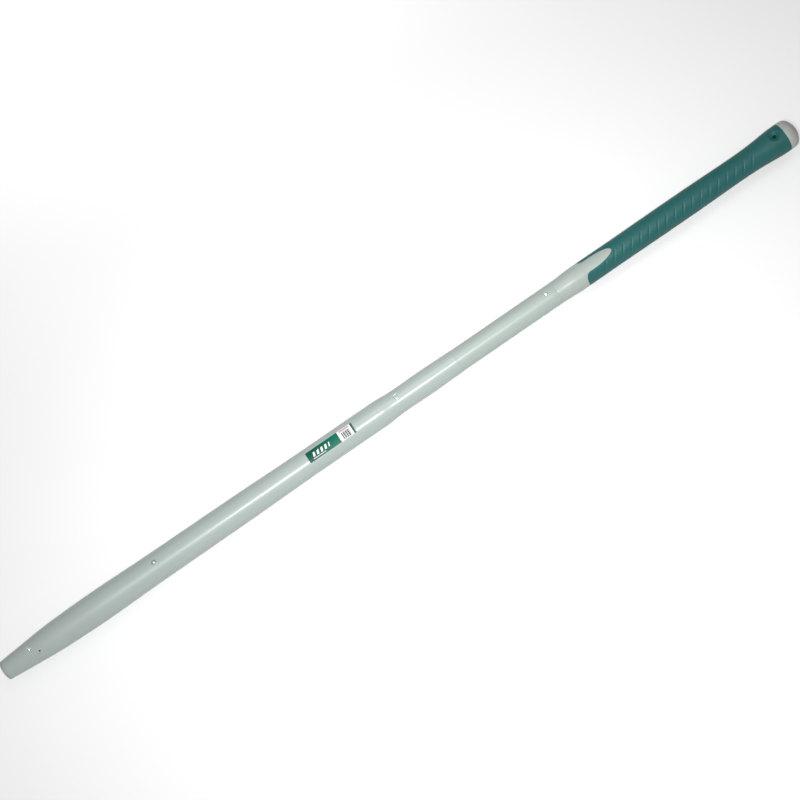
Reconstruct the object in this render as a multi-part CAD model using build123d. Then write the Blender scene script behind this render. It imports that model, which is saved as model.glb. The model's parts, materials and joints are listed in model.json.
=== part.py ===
from build123d import *
import math
import os

# Telescopic roller extension pole, in millimetres.
# The pole lies along X: its tapered nose starts at the origin and the grip is towards +X.
# +Z runs up through the line of the lock button, its second hole and the rivet heads.

POLE_LENGTH = 1077.0

# Running clearance of a sliding fit, and the small gap left between parts that are only assembled.
RUNNING_GAP = 0.05
ASSEMBLY_GAP = 0.05

# How far a cutter runs past the surface it opens.
CUT_MARGIN = 2.0

# Sliding tube.
TUBE_R = 13.6
TUBE_WALL = 1.2
TUBE_BORE_R = TUBE_R - TUBE_WALL
TUBE_START_X = 100.0
TUBE_END_X = 752.0

# Barrel: a conical push-fit nose, a hand-filling belly and a parallel mouth.
NOSE_R = 11.55
NOSE_LENGTH = 60.0
NOSE_BASE_R = 16.6
BELLY_X = 130.0
BELLY_R = 18.2
WAIST_AFTER_BELLY = (222.0, 17.05)
BARREL_TAPER = ((86.0, 17.55), (176.0, 17.5), (270.0, 16.95), (356.0, 16.3))
MOUTH_START_X = 414.0
MOUTH_R = 15.7
BARREL_END_X = 510.0
BARREL_BORE_R = 14.7
NOSE_BORE_R = 9.5
NOSE_BORE_END_X = 66.0
BORE_CONE_END_X = 84.0

# Plug that closes the nose, held by two blind rivets.
PLUG_FLANGE = 3.0
PLUG_SPIGOT_END_X = 43.0
PLUG_WALL = 2.6
PLUG_FLOOR = 10.0
PLUG_RIM = 1.0
NOSE_RIVET_X = 38.5

# Pilot hole for the screw that keeps a roller frame on the nose.
PILOT_X = 48.5
PILOT_R = 1.1
PILOT_ANGLE = 36.0

# Collar that necks the barrel down to the sliding tube.
COLLAR_SPIGOT_X = 484.0
COLLAR_SPIGOT_R = 14.7
COLLAR_NECK = ((522.0, 14.9), (534.0, 14.3), (567.0, 14.6), (598.0, 14.2))
COLLAR_END_X = 616.0
COLLAR_END_R = 13.95
COLLAR_BORE_R = TUBE_R + RUNNING_GAP
BUSH_LENGTH = 24.0

# Snap lock: a sprung button in the tube, one hole in the barrel and one in the collar.
BUTTON_X = 209.0
LOCK_TRAVEL = 328.0
BUTTON_R = 2.4
BUTTON_TOP_Z = 16.9
BUTTON_DOME = 1.5
BUTTON_SHOULDER_R = 3.8
BUTTON_SHOULDER_TOP_Z = 11.6
BUTTON_SHOULDER_HEIGHT = 1.2
LOCK_HOLE_R = 2.55
BARREL_R_AT_BUTTON = 17.15
SINK_R = 3.3
SINK_DEPTH = 0.9
SINK_OVERCUT = 2.5
COLLAR_R_AT_EYELET = 14.3
EYELET_FLANGE_R = 3.3
EYELET_FLANGE_HEIGHT = 0.45
EYELET_CHAMFER = 0.2
EYELET_SEAT = 0.03
EYELET_WALL = 0.3

# Folded leaf spring under the button.
SPRING_THICKNESS = 0.6
SPRING_WIDTH = 8.0
SPRING_BEND_X = 152.0
SPRING_FOOT_Z = -11.0
SPRING_FOOT_END_X = 214.0
SPRING_ARM_END_X = 215.0
SPRING_ARM_FLAT = 12.0
SPRING_BEND_R = 3.0

# Guide bush on the hidden end of the sliding tube.
TAIL_FLANGE = 8.0
TAIL_SPIGOT = 20.0
TAIL_BORE_R = 9.0
TAIL_CHAMFER = 0.8

# Moulded core that carries the grip, plugged into the tube and riveted.
CORE_SPIGOT_START_X = 700.0
CORE_SPIGOT_R = TUBE_BORE_R - ASSEMBLY_GAP
CORE_BORE_R = 9.0
CORE_BORE_END_X = 1036.0
CORE_FLARE_END_X = 779.0
CORE_FLARE_R = 14.8
CORE_BODY_R = 12.6
GRIP_RIVET_X = 740.0

# Soft sleeve moulded over the core, with a window for the core's tongue.
SLEEVE_START_X = 787.6
SLEEVE_END_X = 1061.0
SLEEVE_START_R = 14.8
SLEEVE_LINE = ((815.0, 14.7), (955.0, 14.65), (1003.0, 14.25), (1030.0, 15.3), (1047.0, 16.7))
SLEEVE_END_R = 17.1
TONGUE_HALF_WIDTH = 7.55
TONGUE_STRAIGHT = 12.8
TONGUE_TIP_LENGTH = 28.0
TONGUE_DROP = 0.1

# Hole through the grip for hanging the pole up, lined by the sleeve and with dished mouths.
HANG_X = 1050.0
HANG_R = 2.5
HANG_LINING = 1.2
HANG_DISH_R = 6.5
HANG_DISH_DEPTH = 3.1
HANG_DISH_FLOOR_Z = 13.8

# Domed cap on the end of the grip.
CAP_SIDE = 3.0
CAP_DRAFT = 0.05
CAP_SHOULDER = (1072.0, 14.7)
CAP_CROWN = (1075.4, 9.5)
CAP_SPIGOT_R = 6.0
CAP_SPIGOT_LENGTH = 4.0
CAP_SOCKET_SPARE = 0.5

# Blind rivets, all of one size.
RIVET_HEAD_R = 2.7
RIVET_HEAD_HEIGHT = 1.0
RIVET_SHANK_R = 1.6
RIVET_BORE_R = 0.9
RIVET_SEAT = 0.35
RIVET_TAIL = 0.4
MANDREL_HEAD_R = 1.5
MANDREL_HEAD_LENGTH = 1.6
MANDREL_RECESS = 0.25
MANDREL_GAP = 0.02

# Printed label on the parallel mouth.
LABEL_START_X = 416.6
LABEL_END_X = 478.6
LABEL_THICKNESS = 0.15
LABEL_SPAN = 51.6
LABEL_OFFSET = 6.9


def turned(outline):
    """A closed outline in the XZ plane, turned about the pole's axis."""
    return revolve(make_face(outline), axis=Axis.X)


def cylinder_x(start, end, radius):
    """A solid cylinder on the pole's axis."""
    return Pos((start + end) / 2, 0, 0) * Rot(0, 90, 0) * Cylinder(radius, end - start)


def at_angle(shape, angle):
    """Turn a shape about the pole's axis, from +Z towards -Y."""
    return Rot(angle, 0, 0) * shape


def post(x, radius, low, high):
    """A solid cylinder along Z."""
    return Pos(x, 0, (low + high) / 2) * Cylinder(radius, high - low)


def nose_r(x):
    """Outer radius of the conical nose."""
    return NOSE_R + (NOSE_BASE_R - NOSE_R) * x / NOSE_LENGTH


def rivet(x, surface, grip):
    """A domed blind rivet set from +Z, with the hole of its mandrel right through it."""
    base = surface - RIVET_SEAT
    top = base + RIVET_HEAD_HEIGHT
    points = (
        (RIVET_BORE_R, base - grip),
        (RIVET_SHANK_R, base - grip),
        (RIVET_SHANK_R, base),
        (RIVET_HEAD_R, base),
    )
    line = Polyline(*[(r, 0, z) for r, z in points])
    dome = ThreePointArc(
        (RIVET_HEAD_R, 0, base),
        (RIVET_HEAD_R * 0.72, 0, base + RIVET_HEAD_HEIGHT * 0.72),
        (RIVET_BORE_R, 0, top),
    )
    close = Line((RIVET_BORE_R, 0, top), (RIVET_BORE_R, 0, base - grip))
    return Pos(x, 0, 0) * revolve(make_face(line + dome + close), axis=Axis.Z)


def mandrel(x, surface, grip):
    """The broken pin that stays inside a set rivet."""
    base = surface - RIVET_SEAT
    low = base - grip
    head_top = low - MANDREL_GAP
    pin = post(x, RIVET_BORE_R - MANDREL_GAP, head_top, base + RIVET_HEAD_HEIGHT - MANDREL_RECESS)
    head = post(x, MANDREL_HEAD_R, head_top - MANDREL_HEAD_LENGTH, head_top)
    return pin + head


def both_sides(shape):
    """A shape and its copy on the far side of the pole."""
    return [shape, Rot(180, 0, 0) * shape]


def rivet_pair(x, surface, grip):
    return both_sides(rivet(x, surface, grip))


def mandrel_pair(x, surface, grip):
    return both_sides(mandrel(x, surface, grip))


def nose_rivet_size():
    """Place, surface radius and shank length of the nose rivets."""
    surface = nose_r(NOSE_RIVET_X)
    return NOSE_RIVET_X, surface, surface - RIVET_SEAT - (NOSE_BORE_R - PLUG_WALL) + RIVET_TAIL


def grip_rivet_size():
    """Place, surface radius and shank length of the grip rivets."""
    return GRIP_RIVET_X, TUBE_R, TUBE_R - RIVET_SEAT - CORE_BORE_R + RIVET_TAIL


def nose_rivets():
    return rivet_pair(*nose_rivet_size())


def nose_rivet_mandrels():
    return mandrel_pair(*nose_rivet_size())


def grip_rivets():
    return rivet_pair(*grip_rivet_size())


def grip_rivet_mandrels():
    return mandrel_pair(*grip_rivet_size())


def rivet_holes(x):
    """Clear holes for a pair of rivets, from the axis outwards."""
    return both_sides(post(x, RIVET_SHANK_R, 0, BELLY_R + CUT_MARGIN))


def rivet_seats(rivets):
    """The rivets with their bores filled, to cut their seats with."""
    seats = []
    for one in rivets:
        box = one.bounding_box()
        seats.append(one + post(one.center().X, RIVET_SHANK_R, box.min.Z, box.max.Z - RIVET_SEAT))
    return seats


def barrel_outline():
    """Outer line of the barrel, from the back of the plug's flange to the mouth."""
    nose = Line((PLUG_FLANGE, 0, nose_r(PLUG_FLANGE)), (NOSE_LENGTH, 0, NOSE_BASE_R))
    stations = sorted([(BELLY_X, BELLY_R), WAIST_AFTER_BELLY, *BARREL_TAPER])
    points = [(NOSE_LENGTH, NOSE_BASE_R), *stations, (MOUTH_START_X, MOUTH_R)]
    belly = Spline(*[(x, 0, r) for x, r in points], tangents=((1, 0, 0.05), (1, 0, 0)))
    mouth = Line((MOUTH_START_X, 0, MOUTH_R), (BARREL_END_X, 0, MOUTH_R))
    return nose + belly + mouth


def barrel_shell():
    inside = Polyline(
        (BARREL_END_X, 0, MOUTH_R),
        (BARREL_END_X, 0, BARREL_BORE_R),
        (BORE_CONE_END_X, 0, BARREL_BORE_R),
        (NOSE_BORE_END_X, 0, NOSE_BORE_R),
        (PLUG_FLANGE, 0, NOSE_BORE_R),
        (PLUG_FLANGE, 0, nose_r(PLUG_FLANGE)),
    )
    shell = turned(barrel_outline() + inside)
    shell -= rivet_seats(nose_rivets())
    shell -= at_angle(post(PILOT_X, PILOT_R, 0, BELLY_R + CUT_MARGIN), PILOT_ANGLE)
    shell -= lock_hole(BUTTON_X)
    return shell - barrel_sink()


def lock_hole(x):
    return post(x, LOCK_HOLE_R, TUBE_R, BELLY_R + CUT_MARGIN)


def barrel_sink():
    """Countersink that lets a fingertip reach the button."""
    height = SINK_OVERCUT * SINK_DEPTH
    top_r = LOCK_HOLE_R + SINK_OVERCUT * (SINK_R - LOCK_HOLE_R)
    cone = Cone(LOCK_HOLE_R, top_r, height)
    return Pos(BUTTON_X, 0, BARREL_R_AT_BUTTON - SINK_DEPTH + height / 2) * cone


def nose_plug():
    flange_r = nose_r(PLUG_FLANGE)
    outline = Polyline(
        (0, 0, 0),
        (0, 0, NOSE_R - PLUG_RIM),
        (PLUG_RIM, 0, nose_r(PLUG_RIM)),
        (PLUG_FLANGE, 0, flange_r),
        (PLUG_FLANGE, 0, NOSE_BORE_R - ASSEMBLY_GAP),
        (PLUG_SPIGOT_END_X, 0, NOSE_BORE_R - ASSEMBLY_GAP),
        (PLUG_SPIGOT_END_X, 0, NOSE_BORE_R - PLUG_WALL),
        (PLUG_FLOOR, 0, NOSE_BORE_R - PLUG_WALL),
        (PLUG_FLOOR, 0, 0),
        close=True,
    )
    return turned(outline) - rivet_holes(NOSE_RIVET_X)


def collar():
    neck_points = [(BARREL_END_X, MOUTH_R), *COLLAR_NECK, (COLLAR_END_X, COLLAR_END_R)]
    neck = Spline(*[(x, 0, r) for x, r in neck_points], tangents=((1, 0, 0), (1, 0, -0.01)))
    inside = Polyline(
        (COLLAR_END_X, 0, COLLAR_END_R),
        (COLLAR_END_X, 0, COLLAR_BORE_R),
        (COLLAR_SPIGOT_X, 0, COLLAR_BORE_R),
        (COLLAR_SPIGOT_X, 0, COLLAR_SPIGOT_R),
        (BARREL_END_X, 0, COLLAR_SPIGOT_R),
        (BARREL_END_X, 0, MOUTH_R),
    )
    hole_x = BUTTON_X + LOCK_TRAVEL
    return turned(neck + inside) - post(hole_x, LOCK_HOLE_R + EYELET_WALL, 0, BELLY_R)


def lock_eyelet():
    """Steel eyelet that lines the collar's lock hole."""
    x = BUTTON_X + LOCK_TRAVEL
    start, end = x - 2 * EYELET_FLANGE_R, x + 2 * EYELET_FLANGE_R
    top = COLLAR_R_AT_EYELET + EYELET_FLANGE_HEIGHT
    shank = post(x, LOCK_HOLE_R + EYELET_WALL, 0, top)
    flange = post(x, EYELET_FLANGE_R, 0, top)
    flange = chamfer(flange.faces().sort_by(Axis.Z)[-1].edges(), EYELET_CHAMFER)
    ring = shank + (flange - cylinder_x(start, end, COLLAR_R_AT_EYELET + EYELET_SEAT))
    ring -= post(x, LOCK_HOLE_R, 0, top + CUT_MARGIN)
    return ring - cylinder_x(start, end, COLLAR_BORE_R)


def mouth_bush():
    """Nylon bush behind the collar that guides the tube."""
    end = COLLAR_SPIGOT_X - ASSEMBLY_GAP
    start = end - BUSH_LENGTH
    return cylinder_x(start, end, BARREL_BORE_R) - cylinder_x(start, end, COLLAR_BORE_R)


def barrel_label():
    """Thin printed label wrapped part of the way round the mouth."""
    patch = Plane.XZ * Pos((LABEL_START_X + LABEL_END_X) / 2, MOUTH_R + LABEL_THICKNESS / 2)
    face = patch * Rectangle(LABEL_END_X - LABEL_START_X, LABEL_THICKNESS)
    swept = revolve(face, axis=Axis.X, revolution_arc=LABEL_SPAN)
    return at_angle(swept, LABEL_OFFSET - LABEL_SPAN / 2)


def inner_tube():
    tube = cylinder_x(TUBE_START_X, TUBE_END_X, TUBE_R)
    tube -= cylinder_x(TUBE_START_X, TUBE_END_X, TUBE_BORE_R)
    tube -= post(BUTTON_X, LOCK_HOLE_R, 0, TUBE_R + CUT_MARGIN)
    return tube - rivet_seats(grip_rivets())


def tail_bush():
    """Nylon bush that carries the tube's hidden end along the barrel's bore."""
    start = TUBE_START_X - TAIL_FLANGE
    flange = cylinder_x(start, TUBE_START_X, BARREL_BORE_R - RUNNING_GAP)
    flange = chamfer(flange.edges(), TAIL_CHAMFER)
    spigot = cylinder_x(start, TUBE_START_X + TAIL_SPIGOT, TUBE_BORE_R - ASSEMBLY_GAP)
    return flange + spigot - cylinder_x(start, TUBE_START_X + TAIL_SPIGOT, TAIL_BORE_R)


def lock_button():
    """Domed pin with a shoulder that stays inside the tube."""
    low = BUTTON_SHOULDER_TOP_Z - BUTTON_SHOULDER_HEIGHT
    pin = post(BUTTON_X, BUTTON_R, low, BUTTON_TOP_Z)
    pin = fillet(pin.faces().sort_by(Axis.Z)[-1].edges(), BUTTON_DOME)
    return pin + post(BUTTON_X, BUTTON_SHOULDER_R, low, BUTTON_SHOULDER_TOP_Z)


def button_spring():
    """Strip of spring steel folded into a V: a foot along the tube and an arm under the button."""
    arm_z = BUTTON_SHOULDER_TOP_Z - BUTTON_SHOULDER_HEIGHT - ASSEMBLY_GAP - SPRING_THICKNESS / 2
    path = FilletPolyline(
        (SPRING_FOOT_END_X, 0, SPRING_FOOT_Z),
        (SPRING_BEND_X, 0, SPRING_FOOT_Z),
        (SPRING_ARM_END_X - SPRING_ARM_FLAT, 0, arm_z),
        (SPRING_ARM_END_X, 0, arm_z),
        radius=SPRING_BEND_R,
    )
    strip = Plane(path @ 0, x_dir=(0, 1, 0), z_dir=path % 0) * Rectangle(SPRING_WIDTH, SPRING_THICKNESS)
    return sweep(strip, path=path)


def tongue_window(gap):
    """Prism above the axis with the plan shape of the core's tongue, made smaller by a gap."""
    start = SLEEVE_START_X - CUT_MARGIN
    middle = SLEEVE_START_X + TONGUE_STRAIGHT
    half = TONGUE_HALF_WIDTH - gap
    straight = Pos((start + middle) / 2, 0) * Rectangle(middle - start, 2 * half)
    tip = Pos(middle, 0) * Ellipse(TONGUE_TIP_LENGTH - gap, half)
    return extrude(straight + tip, 2 * CORE_FLARE_R)


def hang_hole():
    """Cutter for the through hole and its two dished mouths."""
    dish_high = HANG_DISH_FLOOR_Z + 2 * HANG_DISH_DEPTH
    dish = Cone(HANG_R, HANG_R + 2 * (HANG_DISH_R - HANG_R), 2 * HANG_DISH_DEPTH)
    dish = Pos(HANG_X, 0, (HANG_DISH_FLOOR_Z + dish_high) / 2) * dish
    return post(HANG_X, HANG_R, -BELLY_R, BELLY_R) + both_sides(dish)


def sleeve_outline():
    points = [(SLEEVE_START_X, SLEEVE_START_R), *SLEEVE_LINE, (SLEEVE_END_X, SLEEVE_END_R)]
    return Spline(*[(x, 0, r) for x, r in points], tangents=((1, 0, 0), (1, 0, 0)))


def grip_core():
    flare = Spline(
        (TUBE_END_X, 0, TUBE_R),
        ((TUBE_END_X + CORE_FLARE_END_X) / 2, 0, (TUBE_R + CORE_FLARE_R) / 2),
        (CORE_FLARE_END_X, 0, CORE_FLARE_R),
        tangents=((1, 0, 0.01), (1, 0, 0)),
    )
    front = Polyline(
        (CORE_FLARE_END_X, 0, CORE_FLARE_R),
        (SLEEVE_START_X, 0, CORE_FLARE_R),
        (SLEEVE_START_X, 0, CORE_BODY_R),
        (SLEEVE_END_X, 0, CORE_BODY_R),
        (SLEEVE_END_X, 0, 0),
        (CORE_BORE_END_X, 0, 0),
        (CORE_BORE_END_X, 0, CORE_BORE_R),
        (CORE_SPIGOT_START_X, 0, CORE_BORE_R),
        (CORE_SPIGOT_START_X, 0, CORE_SPIGOT_R),
        (TUBE_END_X, 0, CORE_SPIGOT_R),
        (TUBE_END_X, 0, TUBE_R),
    )
    core = turned(flare + front) + core_tongue()
    core -= rivet_holes(GRIP_RIVET_X)
    core -= post(HANG_X, HANG_R + HANG_LINING, -BELLY_R, BELLY_R)
    socket_start = SLEEVE_END_X - CAP_SPIGOT_LENGTH - CAP_SOCKET_SPARE
    return core - cylinder_x(socket_start, SLEEVE_END_X + CUT_MARGIN, CAP_SPIGOT_R)


def core_tongue():
    """Raised tongue that fills the sleeve's window, flush with the sleeve."""
    end = SLEEVE_START_X + TONGUE_STRAIGHT + TONGUE_TIP_LENGTH
    pad = cylinder_x(SLEEVE_START_X - CUT_MARGIN, end, CORE_FLARE_R - TONGUE_DROP)
    return pad & tongue_window(ASSEMBLY_GAP)


def grip_sleeve():
    inside = Polyline(
        (SLEEVE_END_X, 0, SLEEVE_END_R),
        (SLEEVE_END_X, 0, CORE_BODY_R),
        (SLEEVE_START_X, 0, CORE_BODY_R),
        (SLEEVE_START_X, 0, SLEEVE_START_R),
    )
    lining = post(HANG_X, HANG_R + HANG_LINING, -CORE_BODY_R, CORE_BODY_R)
    return turned(sleeve_outline() + inside) - tongue_window(0) + lining - hang_hole()


def end_cap():
    side_end = (SLEEVE_END_X + CAP_SIDE, 0, SLEEVE_END_R - CAP_DRAFT)
    side = Line((SLEEVE_END_X, 0, SLEEVE_END_R), side_end)
    dome = Spline(
        side_end,
        (CAP_SHOULDER[0], 0, CAP_SHOULDER[1]),
        (CAP_CROWN[0], 0, CAP_CROWN[1]),
        (POLE_LENGTH, 0, 0),
        tangents=((1, 0, -CAP_DRAFT), (0, 0, -1)),
    )
    back = Polyline(
        (POLE_LENGTH, 0, 0),
        (SLEEVE_END_X - CAP_SPIGOT_LENGTH, 0, 0),
        (SLEEVE_END_X - CAP_SPIGOT_LENGTH, 0, CAP_SPIGOT_R - ASSEMBLY_GAP),
        (SLEEVE_END_X, 0, CAP_SPIGOT_R - ASSEMBLY_GAP),
        (SLEEVE_END_X, 0, SLEEVE_END_R),
    )
    return turned(side + dome + back)


NODES = {
    "barrel_shell": barrel_shell,
    "nose_plug": nose_plug,
    "nose_rivets": nose_rivets,
    "nose_rivet_mandrels": nose_rivet_mandrels,
    "collar": collar,
    "lock_eyelet": lock_eyelet,
    "mouth_bush": mouth_bush,
    "barrel_label": barrel_label,
    "inner_tube": inner_tube,
    "tail_bush": tail_bush,
    "lock_button": lock_button,
    "button_spring": button_spring,
    "grip_core": grip_core,
    "grip_rivets": grip_rivets,
    "grip_rivet_mandrels": grip_rivet_mandrels,
    "grip_sleeve": grip_sleeve,
    "end_cap": end_cap,
}

os.makedirs("parts", exist_ok=True)
for name, make in NODES.items():
    made = make()
    solids = made if isinstance(made, list) else [made]
    whole = Compound(children=[s for part in solids for s in part.solids()])
    export_step(whole, f"parts/{name}.step")
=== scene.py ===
import json
import math

import bmesh
import bpy
from mathutils import Matrix, Vector
from mathutils.bvhtree import BVHTree


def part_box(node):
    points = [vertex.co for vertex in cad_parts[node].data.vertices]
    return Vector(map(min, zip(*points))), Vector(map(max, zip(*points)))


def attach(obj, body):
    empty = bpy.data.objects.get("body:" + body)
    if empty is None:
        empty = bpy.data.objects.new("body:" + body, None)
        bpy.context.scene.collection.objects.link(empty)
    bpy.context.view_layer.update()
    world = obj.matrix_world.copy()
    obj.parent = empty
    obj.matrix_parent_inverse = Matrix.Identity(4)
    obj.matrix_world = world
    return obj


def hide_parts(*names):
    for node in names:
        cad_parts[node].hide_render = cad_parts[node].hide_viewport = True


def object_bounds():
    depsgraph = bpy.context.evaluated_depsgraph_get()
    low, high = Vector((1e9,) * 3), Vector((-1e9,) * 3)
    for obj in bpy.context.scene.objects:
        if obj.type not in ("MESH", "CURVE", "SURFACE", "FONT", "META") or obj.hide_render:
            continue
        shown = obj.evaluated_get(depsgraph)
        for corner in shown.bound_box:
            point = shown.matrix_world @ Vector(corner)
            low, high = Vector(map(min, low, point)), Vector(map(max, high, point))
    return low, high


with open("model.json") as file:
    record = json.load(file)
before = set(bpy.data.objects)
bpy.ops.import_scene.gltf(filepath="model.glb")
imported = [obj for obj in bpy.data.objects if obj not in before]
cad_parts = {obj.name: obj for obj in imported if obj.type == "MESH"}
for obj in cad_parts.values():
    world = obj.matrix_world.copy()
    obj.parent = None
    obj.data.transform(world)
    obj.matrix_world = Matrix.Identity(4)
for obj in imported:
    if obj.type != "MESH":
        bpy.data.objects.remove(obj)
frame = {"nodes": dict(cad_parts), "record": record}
CAD_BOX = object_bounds()

bl_info = {
    "name": "Roller extension pole",
    "version": (1, 0, 0),
    "blender": (4, 5, 0),
    "location": "View3D > Sidebar > Pole",
    "description": "Finished surfaces, materials and studio for a telescopic paint roller pole",
    "category": "Object",
}

MM = 0.001
MOUNTS = {m["name"]: m for m in frame["record"]["mounts"]}
CAD_TREES = {}

# Surface mesh fineness.
AROUND = 128
ALONG = 1.5 * MM
PROBE_RAYS = 48

# Sizes hidden inside the pole, which no box gives: radii, and places along it.
BARREL_BORE = 14.7 * MM
BARREL_BORE_START = 84 * MM
NOSE_BORE = 9.5 * MM
NOSE_BORE_END = 66 * MM
COLLAR_BORE = 13.65 * MM
COLLAR_SPIGOT = 14.65 * MM
EYELET_SEAT = 2.86 * MM
TUBE_WALL = 1.2 * MM
BUTTON_HOLE = 2.55 * MM
BUTTON_MOUTH = 3.3 * MM
BUTTON_SINK = 0.9 * MM
CORE_SPIGOT = 12.35 * MM
CORE_BORE = 9.0 * MM
CORE_BORE_END = 1036 * MM
CAP_SPIGOT = 5.95 * MM

# A hole's cutter starts in the hollow inside and ends past the skin.
CUT_LOW = 4 * MM
CUT_HIGH = 20 * MM

# Faces thinner than this are merged away after a cut.
SLIVER = 0.004 * MM

# Colours in linear light.
GREY_GREEN = (0.285, 0.330, 0.314)
TUBE_GREY = (0.285, 0.332, 0.306)
CORE_GREY = (0.296, 0.337, 0.318)
TEAL = (0.012, 0.090, 0.087)
CAP_GREY = (0.34, 0.365, 0.35)
# Colour at the tip of the cap's dome, darker and warmer than at the seam.
CAP_TIP_GREY = (0.235, 0.215, 0.195)
PLUG_GREY = (0.24, 0.275, 0.26)
NYLON = (0.80, 0.79, 0.73)
LABEL_GREEN = (0.001, 0.105, 0.070)
LABEL_WHITE = (0.60, 0.62, 0.60)
LABEL_DARK = (0.06, 0.05, 0.075)
LABEL_TAN = (0.40, 0.30, 0.29)
LABEL_EDGE = (0.035, 0.075, 0.06)


# ---------------------------------------------------------------- shape helpers


def cad_tree(node):
    """Search tree of a CAD node's mesh, in the shared frame."""
    if node not in CAD_TREES:
        source = frame["nodes"][node]
        copy = bmesh.new()
        copy.from_mesh(source.data)
        copy.transform(source.matrix_world)
        CAD_TREES[node] = BVHTree.FromBMesh(copy)
        copy.free()
    return CAD_TREES[node]


def cad_radius(node, x):
    """Outer radius of a CAD node about the pole's axis at a place along it."""
    tree = cad_tree(node)
    far = 0.1
    best = 0.0
    for k in range(PROBE_RAYS):
        turn = 2 * math.pi * (k + 0.5) / PROBE_RAYS
        out = Vector((0, math.sin(turn), math.cos(turn)))
        where, _, _, _ = tree.ray_cast(Vector((x, 0, 0)) + out * far, -out)
        if where:
            best = max(best, math.hypot(where.y, where.z))
    return best


def spread(start, end, step):
    """Evenly spaced places from start to end, both included."""
    count = max(1, round((end - start) / step))
    return [start + (end - start) * k / count for k in range(count + 1)]


def cad_line(node, start, end, step, inset=0.05 * MM):
    """Outer line of a CAD node as (place, radius) stations."""
    places = spread(start, end, step)
    return [(x, cad_radius(node, min(max(x, start + inset), end - inset))) for x in places]


def smooth_line(stations, step):
    """Places and radii on a smooth curve through stations."""
    line = []
    for k in range(len(stations) - 1):
        (x0, r0), (x1, r1) = stations[k], stations[k + 1]
        before = stations[k - 1] if k else stations[k]
        after = stations[k + 2] if k + 2 < len(stations) else stations[k + 1]
        slope0 = (r1 - before[1]) / (x1 - before[0])
        slope1 = (after[1] - r0) / (after[0] - x0)
        for x in spread(x0, x1, step)[:-1]:
            t = (x - x0) / (x1 - x0)
            width = x1 - x0
            r = (2 * t**3 - 3 * t**2 + 1) * r0 + (t**3 - 2 * t**2 + t) * width * slope0
            r += (3 * t**2 - 2 * t**3) * r1 + (t**3 - t**2) * width * slope1
            line.append((x, r))
    return line + [stations[-1]]


def radius_on(line, x):
    """Radius of a line of (place, radius) at a place, straight between its points."""
    if x <= line[0][0]:
        return line[0][1]
    for (x0, r0), (x1, r1) in zip(line, line[1:]):
        if x <= x1:
            return r0 + (r1 - r0) * (x - x0) / (x1 - x0)
    return line[-1][1]


def ease(value):
    """Smooth step from 0 to 1."""
    t = min(max(value, 0.0), 1.0)
    return t * t * (3 - 2 * t)


def rounded(line, start_round=0.0, end_round=0.0, steps=4):
    """A line whose first and last points are rounded over towards the axis."""
    made = [p for p in line if line[0][0] + start_round < p[0] < line[-1][0] - end_round]
    corner = [(1 - math.sin(a), 1 - math.cos(a)) for a in (math.pi / 2 * k / steps for k in range(steps + 1))]
    x, r = line[0]
    first = [(x + start_round * back, r - start_round * down) for back, down in reversed(corner)]
    x, r = line[-1]
    last = [(x - end_round * back, r - end_round * down) for back, down in corner]
    return (first if start_round else [line[0]]) + made + (last if end_round else [line[-1]])


def spun(outline, closed=True, steps=AROUND):
    """A bmesh turned about the pole's axis from an outline of (place, radius) points."""
    bm = bmesh.new()
    verts = [bm.verts.new((x, 0, r)) for x, r in outline]
    pairs = list(zip(verts, verts[1:]))
    if closed:
        pairs.append((verts[-1], verts[0]))
    edges = [bm.edges.new(pair) for pair in pairs]
    bmesh.ops.spin(
        bm,
        geom=verts + edges,
        cent=(0, 0, 0),
        axis=(1, 0, 0),
        angle=2 * math.pi,
        steps=steps,
        use_merge=True,
    )
    bmesh.ops.remove_doubles(bm, verts=bm.verts, dist=1e-7)
    return bm


def post(x, radius, low, high, turn=0.0, top_radius=None, segments=48):
    """A cutter along a radius of the pole, turned from +Z towards -Y."""
    bm = bmesh.new()
    bmesh.ops.create_cone(
        bm,
        cap_ends=True,
        segments=segments,
        radius1=radius,
        radius2=radius if top_radius is None else top_radius,
        depth=high - low,
        matrix=Matrix.Rotation(turn, 4, "X") @ Matrix.Translation((x, 0, (low + high) / 2)),
    )
    return bm


def to_object(name, bm):
    mesh = bpy.data.meshes.new(name)
    bm.to_mesh(mesh)
    bm.free()
    made = bpy.data.objects.new(name, mesh)
    bpy.context.scene.collection.objects.link(made)
    return made


def cut(bm, *cutters, operation="DIFFERENCE"):
    """The bmesh with each cutter taken away from it, or joined to it."""
    body = to_object("cut_body", bm)
    tools = [to_object("cut_tool", c) for c in cutters]
    for tool in tools:
        step = body.modifiers.new("cut", "BOOLEAN")
        step.operation = operation
        step.solver = "EXACT"
        step.object = tool
    bpy.context.view_layer.update()
    result = bmesh.new()
    result.from_object(body, bpy.context.evaluated_depsgraph_get())
    bmesh.ops.dissolve_degenerate(result, dist=SLIVER, edges=result.edges[:])
    # A point with only two edges gives folded triangles when its faces are split.
    idle = [vert for vert in result.verts if len(vert.link_edges) == 2]
    bmesh.ops.dissolve_verts(result, verts=idle)
    for used in [body, *tools]:
        mesh = used.data
        bpy.data.objects.remove(used)
        bpy.data.meshes.remove(mesh)
    return result


def shade(bm, sharp_degrees=35.0):
    """Smooth faces, with hard edges where faces meet at more than an angle."""
    limit = math.radians(sharp_degrees)
    for face in bm.faces:
        face.smooth = True
    for edge in bm.edges:
        if len(edge.link_faces) == 2:
            edge.smooth = edge.calc_face_angle(0.0) < limit
    return bm


def finish_piece(name, bm, body, slot, material, *nodes, sharp=35.0):
    """A finished piece: outward faces, smooth shading, material, body and the CAD nodes it replaces."""
    bmesh.ops.recalc_face_normals(bm, faces=bm.faces)
    shade(bm, sharp)
    made = to_object(name, bm)
    made.data.materials.append(material)
    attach(made, body)
    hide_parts(*nodes)
    return made


# ------------------------------------------------------------- material helpers


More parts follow.
